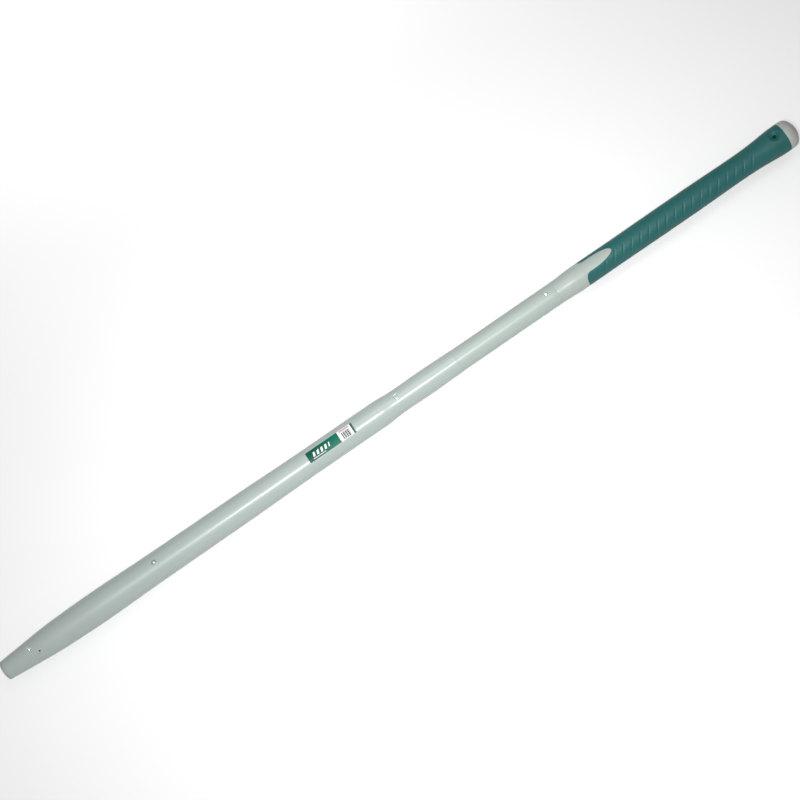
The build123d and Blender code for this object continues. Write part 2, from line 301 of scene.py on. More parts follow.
def new_material(name):
    """A material with a lone Principled shader."""
    material = bpy.data.materials.new(name)
    material.use_nodes = True
    tree = material.node_tree
    tree.nodes.clear()
    out = tree.nodes.new("ShaderNodeOutputMaterial")
    shader = tree.nodes.new("ShaderNodeBsdfPrincipled")
    tree.links.new(shader.outputs["BSDF"], out.inputs["Surface"])
    return material, tree, shader


def math_node(tree, operation, first, second=0.0, third=0.0):
    """A Math node whose inputs are numbers or sockets. Returns its output."""
    node = tree.nodes.new("ShaderNodeMath")
    node.operation = operation
    for socket, value in zip(node.inputs, (first, second, third)):
        if isinstance(value, bpy.types.NodeSocket):
            tree.links.new(value, socket)
        else:
            socket.default_value = value
    return node.outputs[0]


def noise(tree, vector, scale, detail=2.0, roughness=0.5):
    """A noise value at a scale in waves per metre."""
    node = tree.nodes.new("ShaderNodeTexNoise")
    node.inputs["Scale"].default_value = scale
    node.inputs["Detail"].default_value = detail
    node.inputs["Roughness"].default_value = roughness
    tree.links.new(vector, node.inputs["Vector"])
    return node.outputs["Fac"]


def remap(tree, value, low, high, to_low, to_high):
    """Maps a value from one range to another, held at the ends."""
    node = tree.nodes.new("ShaderNodeMapRange")
    tree.links.new(value, node.inputs["Value"])
    for socket, number in zip(("From Min", "From Max", "To Min", "To Max"), (low, high, to_low, to_high)):
        node.inputs[socket].default_value = number
    return node.outputs["Result"]


def blend_colour(tree, factor, first, second):
    """Mixes two colours, given as sockets or as linear RGB."""
    node = tree.nodes.new("ShaderNodeMix")
    node.data_type = "RGBA"
    tree.links.new(factor, node.inputs["Factor"])
    for socket, value in ((node.inputs[6], first), (node.inputs[7], second)):
        if isinstance(value, bpy.types.NodeSocket):
            tree.links.new(value, socket)
        else:
            socket.default_value = (*value, 1.0)
    return node.outputs[2]


def object_coords(tree):
    return tree.nodes.new("ShaderNodeTexCoord").outputs["Object"]


def new_group(name, inputs, outputs):
    """A shader node group with named float or colour sockets."""
    group = bpy.data.node_groups.new(name, "ShaderNodeTree")
    for label, kind, default in inputs:
        socket = group.interface.new_socket(name=label, in_out="INPUT", socket_type=kind)
        socket.default_value = default
    for label, kind in outputs:
        group.interface.new_socket(name=label, in_out="OUTPUT", socket_type=kind)
    return group, group.nodes.new("NodeGroupInput"), group.nodes.new("NodeGroupOutput")


def moulded_surface_group():
    """Moulded or sprayed skin: slight mottling, faint handling marks and a fine orange-peel relief."""
    group, given, made = new_group(
        "moulded_surface",
        [
            ("Colour", "NodeSocketColor", (0.5, 0.5, 0.5, 1.0)),
            ("Mottle", "NodeSocketFloat", 0.05),
            ("Roughness", "NodeSocketFloat", 0.4),
            ("Roughness Spread", "NodeSocketFloat", 0.06),
            ("Grain Scale", "NodeSocketFloat", 1500.0),
        ],
        [("Colour", "NodeSocketColor"), ("Roughness", "NodeSocketFloat"), ("Relief", "NodeSocketFloat")],
    )
    place = object_coords(group)
    cloud = noise(group, place, 22.0, 3.0, 0.55)
    speck = noise(group, place, 420.0, 2.0, 0.6)
    tone = math_node(group, "MULTIPLY_ADD", cloud, 0.7, math_node(group, "MULTIPLY", speck, 0.3))
    swing = math_node(group, "MULTIPLY", math_node(group, "SUBTRACT", tone, 0.5), given.outputs["Mottle"])
    gain = math_node(group, "ADD", math_node(group, "MULTIPLY", swing, 2.0), 1.0)
    scaled = group.nodes.new("ShaderNodeVectorMath")
    scaled.operation = "SCALE"
    group.links.new(given.outputs["Colour"], scaled.inputs[0])
    group.links.new(gain, scaled.inputs["Scale"])
    group.links.new(scaled.outputs[0], made.inputs["Colour"])

    stretched = group.nodes.new("ShaderNodeMapping")
    stretched.inputs["Scale"].default_value = (0.12, 1.0, 1.0)
    group.links.new(place, stretched.inputs["Vector"])
    rub = noise(group, stretched.outputs[0], 260.0, 4.0, 0.6)
    swing = math_node(group, "SUBTRACT", rub, 0.5)
    change = math_node(group, "MULTIPLY", swing, given.outputs["Roughness Spread"])
    rough = math_node(group, "MULTIPLY_ADD", change, 2.0, given.outputs["Roughness"])
    group.links.new(rough, made.inputs["Roughness"])

    peel = group.nodes.new("ShaderNodeTexNoise")
    peel.inputs["Detail"].default_value = 2.0
    group.links.new(place, peel.inputs["Vector"])
    group.links.new(given.outputs["Grain Scale"], peel.inputs["Scale"])
    group.links.new(peel.outputs["Fac"], made.inputs["Relief"])
    return group


def dust_group():
    """A mask of fine settled dust and scuffs, for rubber and textured plastic."""
    group, given, made = new_group(
        "handling_dust",
        [("Amount", "NodeSocketFloat", 0.2), ("Scale", "NodeSocketFloat", 90.0)],
        [("Mask", "NodeSocketFloat")],
    )
    place = object_coords(group)
    broad = group.nodes.new("ShaderNodeTexNoise")
    broad.inputs["Detail"].default_value = 5.0
    broad.inputs["Roughness"].default_value = 0.65
    group.links.new(place, broad.inputs["Vector"])
    group.links.new(given.outputs["Scale"], broad.inputs["Scale"])
    fine = noise(group, place, 2600.0, 1.0, 0.5)
    patch = remap(group, broad.outputs["Fac"], 0.42, 0.75, 0.0, 1.0)
    speck = remap(group, fine, 0.45, 0.8, 0.35, 1.0)
    mask = math_node(group, "MULTIPLY", math_node(group, "MULTIPLY", patch, speck), given.outputs["Amount"])
    group.links.new(mask, made.inputs["Mask"])
    return group


def drawn_metal_group():
    """Pressed or drawn metal: fine circular tool marks and a little colour change."""
    group, given, made = new_group(
        "drawn_metal",
        [("Colour", "NodeSocketColor", (0.8, 0.8, 0.8, 1.0)), ("Roughness", "NodeSocketFloat", 0.25)],
        [("Colour", "NodeSocketColor"), ("Roughness", "NodeSocketFloat"), ("Relief", "NodeSocketFloat")],
    )
    place = object_coords(group)
    streak = noise(group, place, 3800.0, 3.0, 0.6)
    stain = noise(group, place, 300.0, 3.0, 0.5)
    dull = remap(group, stain, 0.3, 0.75, 1.0, 0.86)
    scaled = group.nodes.new("ShaderNodeVectorMath")
    scaled.operation = "SCALE"
    group.links.new(given.outputs["Colour"], scaled.inputs[0])
    group.links.new(dull, scaled.inputs["Scale"])
    group.links.new(scaled.outputs[0], made.inputs["Colour"])
    change = remap(group, streak, 0.3, 0.7, -0.05, 0.09)
    group.links.new(math_node(group, "ADD", given.outputs["Roughness"], change), made.inputs["Roughness"])
    group.links.new(streak, made.inputs["Relief"])
    return group


def place_group(tree, name):
    """A node group placed in a material."""
    node = tree.nodes.new("ShaderNodeGroup")
    node.node_tree = bpy.data.node_groups[name]
    return node


def bump(tree, height, shader, distance, strength=1.0):
    node = tree.nodes.new("ShaderNodeBump")
    node.inputs["Distance"].default_value = distance
    node.inputs["Strength"].default_value = strength
    tree.links.new(height, node.inputs["Height"])
    tree.links.new(node.outputs["Normal"], shader.inputs["Normal"])


def moulded_material(name, colour, roughness, mottle=0.05, grain=1500.0, depth=0.00002, coat=0.0):
    """Satin plastic or powder coat."""
    material, tree, shader = new_material(name)
    skin = place_group(tree, "moulded_surface")
    skin.inputs["Colour"].default_value = (*colour, 1.0)
    skin.inputs["Mottle"].default_value = mottle
    skin.inputs["Roughness"].default_value = roughness
    skin.inputs["Grain Scale"].default_value = grain
    tree.links.new(skin.outputs["Colour"], shader.inputs["Base Color"])
    tree.links.new(skin.outputs["Roughness"], shader.inputs["Roughness"])
    shader.inputs["Specular IOR Level"].default_value = 0.3
    shader.inputs["Coat Weight"].default_value = coat
    shader.inputs["Coat Roughness"].default_value = 0.20
    bump(tree, skin.outputs["Relief"], shader, depth)
    return material


def metal_material(name, colour, roughness):
    """Bright rivet, eyelet and spring metal."""
    material, tree, shader = new_material(name)
    skin = place_group(tree, "drawn_metal")
    skin.inputs["Colour"].default_value = (*colour, 1.0)
    skin.inputs["Roughness"].default_value = roughness
    tree.links.new(skin.outputs["Colour"], shader.inputs["Base Color"])
    tree.links.new(skin.outputs["Roughness"], shader.inputs["Roughness"])
    shader.inputs["Metallic"].default_value = 1.0
    bump(tree, skin.outputs["Relief"], shader, 0.000004)
    return material


def rubber_material(name, colour):
    """Soft-touch rubber: pebbled skin, a trace of dust, and painted light in the grooves: painted shade on
    each groove's gentle wall and a painted highlight on its steep wall.
    """
    material, tree, shader = new_material(name)
    skin = place_group(tree, "moulded_surface")
    skin.inputs["Colour"].default_value = (*colour, 1.0)
    skin.inputs["Mottle"].default_value = 0.10
    skin.inputs["Roughness"].default_value = 0.50
    skin.inputs["Roughness Spread"].default_value = 0.05
    skin.inputs["Grain Scale"].default_value = 2600.0
    dust = place_group(tree, "handling_dust")
    dust.inputs["Amount"].default_value = 0.10
    dusty = tuple(0.7 * c + 0.06 for c in colour)
    shown = blend_colour(tree, dust.outputs["Mask"], skin.outputs["Colour"], dusty)
    # Painted light: the groove tone darkens the colour as painted shade on each groove's gentle wall and
    # lightens it as a painted highlight on the steep wall.
    groove = tree.nodes.new("ShaderNodeAttribute")
    groove.attribute_name = "groove"
    painted_shade = remap(tree, groove.outputs["Fac"], -1.0, 0.0, 0.28, 0.0)
    painted_highlight = remap(tree, groove.outputs["Fac"], 0.0, 1.0, 0.0, 0.34)
    shown = blend_colour(tree, painted_shade, shown, tuple(0.35 * c for c in colour))
    shown = blend_colour(tree, painted_highlight, shown, tuple(2.0 * c + 0.02 for c in colour))
    tree.links.new(shown, shader.inputs["Base Color"])
    tree.links.new(skin.outputs["Roughness"], shader.inputs["Roughness"])
    shader.inputs["Specular IOR Level"].default_value = 0.25
    bump(tree, skin.outputs["Relief"], shader, 0.00004)
    return material


def cap_material():
    """Spark-eroded grey plastic, with a colour that turns darker and warmer from the seam towards the tip."""
    material, tree, shader = new_material("textured_warm_grey")
    skin = place_group(tree, "moulded_surface")
    skin.inputs["Colour"].default_value = (*CAP_GREY, 1.0)
    skin.inputs["Mottle"].default_value = 0.12
    skin.inputs["Roughness"].default_value = 0.55
    skin.inputs["Grain Scale"].default_value = 1100.0
    dust = place_group(tree, "handling_dust")
    dust.inputs["Amount"].default_value = 0.35
    dust.inputs["Scale"].default_value = 160.0
    split = tree.nodes.new("ShaderNodeSeparateXYZ")
    tree.links.new(object_coords(tree), split.inputs[0])
    seam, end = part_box("grip_sleeve")[1].x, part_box("end_cap")[1].x
    # Blend from the seam colour to a darker, warmer colour at the tip.
    toward_tip = remap(tree, split.outputs["X"], seam + 2 * MM, end - 2 * MM, 0.0, 1.0)
    shown = blend_colour(tree, toward_tip, skin.outputs["Colour"], CAP_TIP_GREY)
    shown = blend_colour(tree, dust.outputs["Mask"], shown, (0.20, 0.19, 0.17))
    tree.links.new(shown, shader.inputs["Base Color"])
    tree.links.new(skin.outputs["Roughness"], shader.inputs["Roughness"])
    bump(tree, skin.outputs["Relief"], shader, 0.00012)
    return material


def between(tree, value, low, high):
    """1 where a value lies between two numbers."""
    above = math_node(tree, "GREATER_THAN", value, low)
    below = math_node(tree, "LESS_THAN", value, high)
    return math_node(tree, "MULTIPLY", above, below)


def both(tree, first, second):
    return math_node(tree, "MULTIPLY", first, second)


def label_material():
    """Printed film: a green block with plain slanted strokes, and a white block with upright ones.

    Places on it are fractions of its length and of its height.
    """
    material, tree, shader = new_material("printed_label")
    coords = tree.nodes.new("ShaderNodeUVMap")
    coords.uv_map = "print"
    split = tree.nodes.new("ShaderNodeSeparateXYZ")
    tree.links.new(coords.outputs[0], split.inputs[0])
    along, across = split.outputs["X"], split.outputs["Y"]

    green = between(tree, along, -0.01, 0.68)
    lean = math_node(tree, "MULTIPLY_ADD", across, -0.07, along)
    stroke = math_node(tree, "FRACT", math_node(tree, "MULTIPLY", lean, 12.0))
    strokes = both(tree, math_node(tree, "LESS_THAN", stroke, 0.5), between(tree, lean, 0.05, 0.44))
    strokes = both(tree, strokes, between(tree, across, 0.30, 0.66))
    rule = both(tree, between(tree, across, 0.15, 0.20), between(tree, along, 0.09, 0.36))
    mark = math_node(tree, "MAXIMUM", strokes, rule)

    bar_wave = math_node(tree, "FRACT", math_node(tree, "MULTIPLY", along, 41.0))
    slow_wave = math_node(tree, "FRACT", math_node(tree, "MULTIPLY", along, 23.0))
    bars = math_node(tree, "LESS_THAN", math_node(tree, "MULTIPLY", bar_wave, slow_wave), 0.34)
    bars = both(tree, bars, between(tree, along, 0.745, 0.91))
    bars = both(tree, bars, between(tree, across, 0.08, 0.66))
    caption = both(tree, between(tree, along, 0.72, 0.93), between(tree, across, 0.74, 0.92))
    edge = between(tree, along, 0.958, 1.01)
    from_middle = math_node(tree, "ABSOLUTE", math_node(tree, "SUBTRACT", across, 0.5))
    margin = math_node(tree, "GREATER_THAN", from_middle, 0.468)

    shade_of_green = remap(tree, along, 0.0, 0.6, 0.0, 1.0)
    block = blend_colour(tree, shade_of_green, tuple(0.55 * c for c in LABEL_GREEN), LABEL_GREEN)
    shown = blend_colour(tree, green, LABEL_WHITE, block)
    shown = blend_colour(tree, both(tree, green, mark), shown, LABEL_WHITE)
    shown = blend_colour(tree, caption, shown, LABEL_TAN)
    shown = blend_colour(tree, bars, shown, LABEL_DARK)
    shown = blend_colour(tree, edge, shown, LABEL_EDGE)
    shown = blend_colour(tree, margin, shown, tuple(0.5 * c for c in LABEL_WHITE))
    fade = noise(tree, object_coords(tree), 900.0, 2.0, 0.6)
    fade = remap(tree, fade, 0.55, 0.85, 0.0, 0.10)
    shown = blend_colour(tree, fade, shown, (0.35, 0.38, 0.36))
    tree.links.new(shown, shader.inputs["Base Color"])
    shader.inputs["Roughness"].default_value = 0.5
    shader.inputs["Specular IOR Level"].default_value = 0.15
    return material


def floor_material():
    """Plain pale matt table top, white and faintly lit from below."""
    material, tree, shader = new_material("pale_floor")
    cloud = noise(tree, object_coords(tree), 3.0, 2.0, 0.5)
    shown = blend_colour(tree, remap(tree, cloud, 0.3, 0.7, 0.0, 1.0), (0.53, 0.53, 0.53), (0.55, 0.55, 0.55))
    tree.links.new(shown, shader.inputs["Base Color"])
    shader.inputs["Roughness"].default_value = 0.9
    shader.inputs["Specular IOR Level"].default_value = 0.1
    shader.inputs["Emission Color"].default_value = (1.0, 1.0, 1.0, 1.0)
    shader.inputs["Emission Strength"].default_value = 0.28
    return material


# ------------------------------------------------------------- property groups


class PoleShape(bpy.types.PropertyGroup):
    """Sizes of the details that the CAD pieces leave plain."""

    groove_pitch: bpy.props.FloatProperty(
        name="Groove pitch", description="Distance between grip grooves along the pole",
        default=11.68 * MM, unit="LENGTH", subtype="DISTANCE",
    )
    groove_depth: bpy.props.FloatProperty(
        name="Groove depth", description="Depth of each grip groove",
        default=0.42 * MM, unit="LENGTH", subtype="DISTANCE",
    )
    groove_run: bpy.props.FloatProperty(
        name="Groove run", description="Width of the groove's gentle side",
        default=1.6 * MM, unit="LENGTH", subtype="DISTANCE",
    )
    groove_rise: bpy.props.FloatProperty(
        name="Groove rise", description="Width of the groove's steep side",
        default=1.0 * MM, unit="LENGTH", subtype="DISTANCE",
    )
    groove_slant: bpy.props.FloatProperty(
        name="Groove slant", description="Run along the pole for each unit across it",
        default=0.65,
    )
    sleeve_lip: bpy.props.FloatProperty(
        name="Sleeve lip", description="How far the sleeve's front edge stands above the core",
        default=0.14 * MM, unit="LENGTH", subtype="DISTANCE",
    )
    edge_round: bpy.props.FloatProperty(
        name="Edge round", description="Rounding of the barrel's mouth and the cap's seam",
        default=0.45 * MM, unit="LENGTH", subtype="DISTANCE",
    )


class PoleFinish(bpy.types.PropertyGroup):
    """Colours of the pole's finishes."""

    barrel: bpy.props.FloatVectorProperty(
        name="Barrel", description="Pale green-grey of the barrel and collar",
        default=GREY_GREEN, subtype="COLOR", min=0.0, max=1.0,
    )
    tube: bpy.props.FloatVectorProperty(
        name="Tube", description="Powder coat of the sliding tube",
        default=TUBE_GREY, subtype="COLOR", min=0.0, max=1.0,
    )
    core: bpy.props.FloatVectorProperty(
        name="Grip core", description="Moulded core and its tongue",
        default=CORE_GREY, subtype="COLOR", min=0.0, max=1.0,
    )
    sleeve: bpy.props.FloatVectorProperty(
        name="Sleeve", description="Soft teal sleeve",
        default=TEAL, subtype="COLOR", min=0.0, max=1.0,
    )


class PoleStudio(bpy.types.PropertyGroup):
    """Camera and light."""

    distance: bpy.props.FloatProperty(
        name="Camera distance", description="From the middle of the pole",
        default=2.0, unit="LENGTH", subtype="DISTANCE",
    )
    lens: bpy.props.FloatProperty(
        name="Lens", description="Focal length", default=80.0, unit="CAMERA",
    )
    roll: bpy.props.FloatProperty(
        name="Roll", description="Rise of the pole in the picture",
        default=math.radians(34.46), unit="ROTATION", subtype="ANGLE",
    )
    tilt: bpy.props.FloatProperty(
        name="Tilt", description="Camera's lean from straight above towards the near side",
        default=math.radians(24.0), unit="ROTATION", subtype="ANGLE",
    )
    key_power: bpy.props.FloatProperty(
        name="Key light", description="Power of the soft strip by the camera", default=5.9, unit="POWER",
    )
    key_distance: bpy.props.FloatProperty(
        name="Key distance", description="From the pole to the key light",
        default=2.05, unit="LENGTH", subtype="DISTANCE",
    )
    key_shift: bpy.props.FloatProperty(
        name="Key shift", description="Key light's place along the pole from its middle",
        default=-0.116, unit="LENGTH", subtype="DISTANCE",
    )
    key_aim: bpy.props.FloatProperty(
        name="Key aim", description="Place the key light points at, along the pole from its middle",
        default=-0.03, unit="LENGTH", subtype="DISTANCE",
    )
    key_spread: bpy.props.FloatProperty(
        name="Key beam", description="Full width of the key light's beam",
        default=math.radians(60.0), unit="ROTATION", subtype="ANGLE",
    )
    fill_power: bpy.props.FloatProperty(
        name="Fill light", description="Power of the soft light on the far side", default=0.50, unit="POWER",
    )
    fill_lean: bpy.props.FloatProperty(
        name="Fill lean", description="Fill light's swing from the camera's line towards the far side",
        default=math.radians(36.0), unit="ROTATION", subtype="ANGLE",
    )
    wash_power: bpy.props.FloatProperty(
        name="Floor washes", description="Power of each floor light", default=1.9, unit="POWER",
    )
    sky: bpy.props.FloatProperty(
        name="Surround", description="Brightness of the white surround", default=0.37,
    )


# -------------------------------------------------------------------- operators


class PieceOperator:
    """Shared by the operators that make one piece or a group of like pieces."""

    bl_options = {"REGISTER", "UNDO"}

    @property
    def shape(self):
        return bpy.context.scene.pole_shape

    @property
    def finish(self):
        return bpy.context.scene.pole_finish


class POLE_OT_finishes(PieceOperator, bpy.types.Operator):
    """Build the finishes that the pieces share"""

    bl_idname = "pole.finishes"
    bl_label = "Finishes"

    def execute(self, context):
        moulded_surface_group()
        dust_group()
        drawn_metal_group()
        moulded_material("barrel_skin", tuple(self.finish.barrel), 0.40, coat=0.21)
        moulded_material("tube_coat", tuple(self.finish.tube), 0.42, grain=2200.0, coat=0.09)
        moulded_material("core_skin", tuple(self.finish.core), 0.40, coat=0.10)
        moulded_material("plug_skin", PLUG_GREY, 0.55, mottle=0.08)
        moulded_material("nylon", NYLON, 0.45)
        metal_material("bright_rivet", (0.93, 0.93, 0.94), 0.22)
        metal_material("plated_steel", (0.80, 0.81, 0.83), 0.24)
        metal_material("satin_steel", (0.62, 0.64, 0.63), 0.50)
        rubber_material("teal_rubber", tuple(self.finish.sleeve))
        cap_material()
        label_material()
        floor_material()
        return {"FINISHED"}


class POLE_OT_barrel(PieceOperator, bpy.types.Operator):
    """Turn the barrel with its conical nose and belly, and open its button and screw holes"""

    bl_idname = "pole.barrel"
    bl_label = "Barrel"

    def execute(self, context):
        low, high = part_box("barrel_shell")
        stations = cad_line("barrel_shell", low.x, high.x, 13 * MM)
        outer = smooth_line(stations, ALONG)
        inner = [
            (high.x, BARREL_BORE),
            (BARREL_BORE_START, BARREL_BORE),
            (NOSE_BORE_END, NOSE_BORE),
            (low.x, NOSE_BORE),
        ]
        bm = spun(rounded(outer, end_round=0.12 * MM) + inner)
        button_low, button_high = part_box("lock_button")
        x = (button_low.x + button_high.x) / 2
        surface = radius_on(outer, x)
        reach = 0.6 * MM
        top = BUTTON_MOUTH + (BUTTON_MOUTH - BUTTON_HOLE) * reach / BUTTON_SINK
        screw = MOUNTS["nose_screw_hole"]
        turn = math.atan2(-screw["axis"][1], screw["axis"][2])
        bm = cut(
            bm,
            post(x, BUTTON_HOLE, CUT_LOW, CUT_HIGH),
            post(x, BUTTON_HOLE, surface - BUTTON_SINK, surface + reach, top_radius=top),
            post(screw["pos_m"][0], screw["dims"]["r_mm"] * MM, CUT_LOW, CUT_HIGH, turn, segments=24),
        )
        finish_piece("barrel", bm, "barrel", "barrel", bpy.data.materials["barrel_skin"], "barrel_shell")
        return {"FINISHED"}


class POLE_OT_collar(PieceOperator, bpy.types.Operator):
    """Turn the collar that necks the barrel down to the tube, with its lock hole"""

    bl_idname = "pole.collar"
    bl_label = "Collar"

    def execute(self, context):
        low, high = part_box("collar")
        _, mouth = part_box("barrel_shell")
        stations = cad_line("collar", mouth.x, high.x, 6 * MM)
        outer = rounded(smooth_line(stations, ALONG), 0.12 * MM, 0.2 * MM)
        inner = [
            (high.x, COLLAR_BORE),
            (low.x, COLLAR_BORE),
            (low.x, COLLAR_SPIGOT),
            (mouth.x, COLLAR_SPIGOT),
        ]
        eyelet_low, eyelet_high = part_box("lock_eyelet")
        x = (eyelet_low.x + eyelet_high.x) / 2
        bm = cut(spun(outer + inner), post(x, EYELET_SEAT, CUT_LOW, CUT_HIGH))
        skin = bpy.data.materials["barrel_skin"]
        finish_piece("neck_collar", bm, "barrel", "barrel", skin, "collar")
        return {"FINISHED"}


class POLE_OT_tube(PieceOperator, bpy.types.Operator):
    """Turn the sliding tube and open its button hole"""

    bl_idname = "pole.tube"
    bl_label = "Sliding tube"

    def execute(self, context):
        low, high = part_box("inner_tube")
        radius = (high.z - low.z) / 2
        bore = radius - TUBE_WALL
        outer = [(x, radius) for x in spread(low.x, high.x, 8 * MM)]
        outline = rounded(outer, 0.2 * MM, 0.15 * MM) + [(high.x, bore), (low.x, bore)]
        button_low, button_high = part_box("lock_button")
        x = (button_low.x + button_high.x) / 2
        bm = cut(spun(outline), post(x, BUTTON_HOLE, CUT_LOW, CUT_HIGH))
        coat = bpy.data.materials["tube_coat"]
        finish_piece("sliding_tube", bm, "sliding_pole", "tube", coat, "inner_tube")
        return {"FINISHED"}


class GripShape:
    """Places on the grip, read from the CAD sleeve and mounts, with given sizes for the window, walls and
    core.
    """

    def __init__(self, shape):
        sleeve_low, sleeve_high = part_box("grip_sleeve")
        self.front = sleeve_low.x
        self.back = sleeve_high.x
        self.hole_x = MOUNTS["hang_hole"]["pos_m"][0]
        self.hole_r = MOUNTS["hang_hole"]["dims"]["r_mm"] * MM
        self.half_width = 7.55 * MM
        self.window_straight = 12.8 * MM
        self.window_tip = 28.0 * MM
        self.core_r = 12.6 * MM
        self.wall = 1.2 * MM
        self.lining = 1.2 * MM
        self.lobe_length = 7.0 * MM
        self.lobe_sweep = math.radians(42.0)
        stations = cad_line("grip_sleeve", self.front, self.back, 10 * MM)
        self.line = smooth_line(stations, 2 * MM)
        self.shape = shape

    @property
    def window_end(self):
        return self.front + self.window_straight + self.window_tip

    def radius(self, x):
        return radius_on(self.line, x)

    def window_turn(self, x):
        """Half angle of the window at a place along the grip."""
        centre = self.front + self.window_straight
        if x <= centre:
            half = self.half_width
        elif x < self.window_end:
            half = self.half_width * math.sqrt(1 - ((x - centre) / self.window_tip) ** 2)
        else:
            return 0.0
        return math.asin(half / self.radius(x))

    def front_edge(self, past_window):
        """Place of the sleeve's front edge at an angle past the window's side: a rounded lobe corner."""
        t = min(max(past_window / self.lobe_sweep, 0.0), 1.0)
        return self.front + self.lobe_length * (1 - math.sqrt(1 - (1 - t) ** 2))


class POLE_OT_core(PieceOperator, bpy.types.Operator):
    """Turn the moulded core: spigot, flare, pale surface in the sleeve's window and hidden body"""

    bl_idname = "pole.core"
    bl_label = "Grip core"

    def execute(self, context):
        grip = GripShape(self.shape)
        low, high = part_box("grip_core")
        _, tube_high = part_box("inner_tube")
        flare = smooth_line(cad_line("grip_core", tube_high.x, grip.front, 4 * MM), ALONG)
        lip = self.shape.sleeve_lip
        settle = 4 * MM
        shown = [
            (x, grip.radius(x) - lip * ease((x - grip.front) / settle))
            for x in spread(grip.front, grip.window_end + 3 * MM, ALONG)[1:]
        ]
        step = shown[-1][0]
        outline = rounded(flare, start_round=0.15 * MM) + shown + [
            (step, grip.core_r),
            (grip.back, grip.core_r),
            (grip.back, 0.0),
            (CORE_BORE_END, 0.0),
            (CORE_BORE_END, CORE_BORE),
            (low.x, CORE_BORE),
            (low.x, CORE_SPIGOT),
            (tube_high.x, CORE_SPIGOT),
        ]
        bm = spun(outline)
        self.sink(bm, grip)
        bm = cut(bm, post(grip.hole_x, grip.hole_r + grip.lining, -CUT_HIGH, CUT_HIGH))
        finish_piece("core", bm, "sliding_pole", "core", bpy.data.materials["core_skin"], "grip_core")
        return {"FINISHED"}

    def sink(self, bm, grip):
        """Drop the core's skin under the sleeve, leaving it full in the window and ahead of the lobes."""
        cover = 1.6 * MM
        for vert in bm.verts:
            x = vert.co.x
            r = math.hypot(vert.co.y, vert.co.z)
            if not grip.front < x <= grip.window_end + 4 * MM or r < grip.core_r:
                continue
            side = abs(math.atan2(vert.co.y, vert.co.z))
            past = side - grip.window_turn(x)
            beside = past * r
            behind = x - grip.front_edge(max(past, 0.0))
            under = ease(beside / cover - 0.3) * ease(behind / cover - 0.3)
            goal = r + (grip.radius(x) - grip.wall - 0.1 * MM - r) * under
            vert.co.y *= goal / r
            vert.co.z *= goal / r


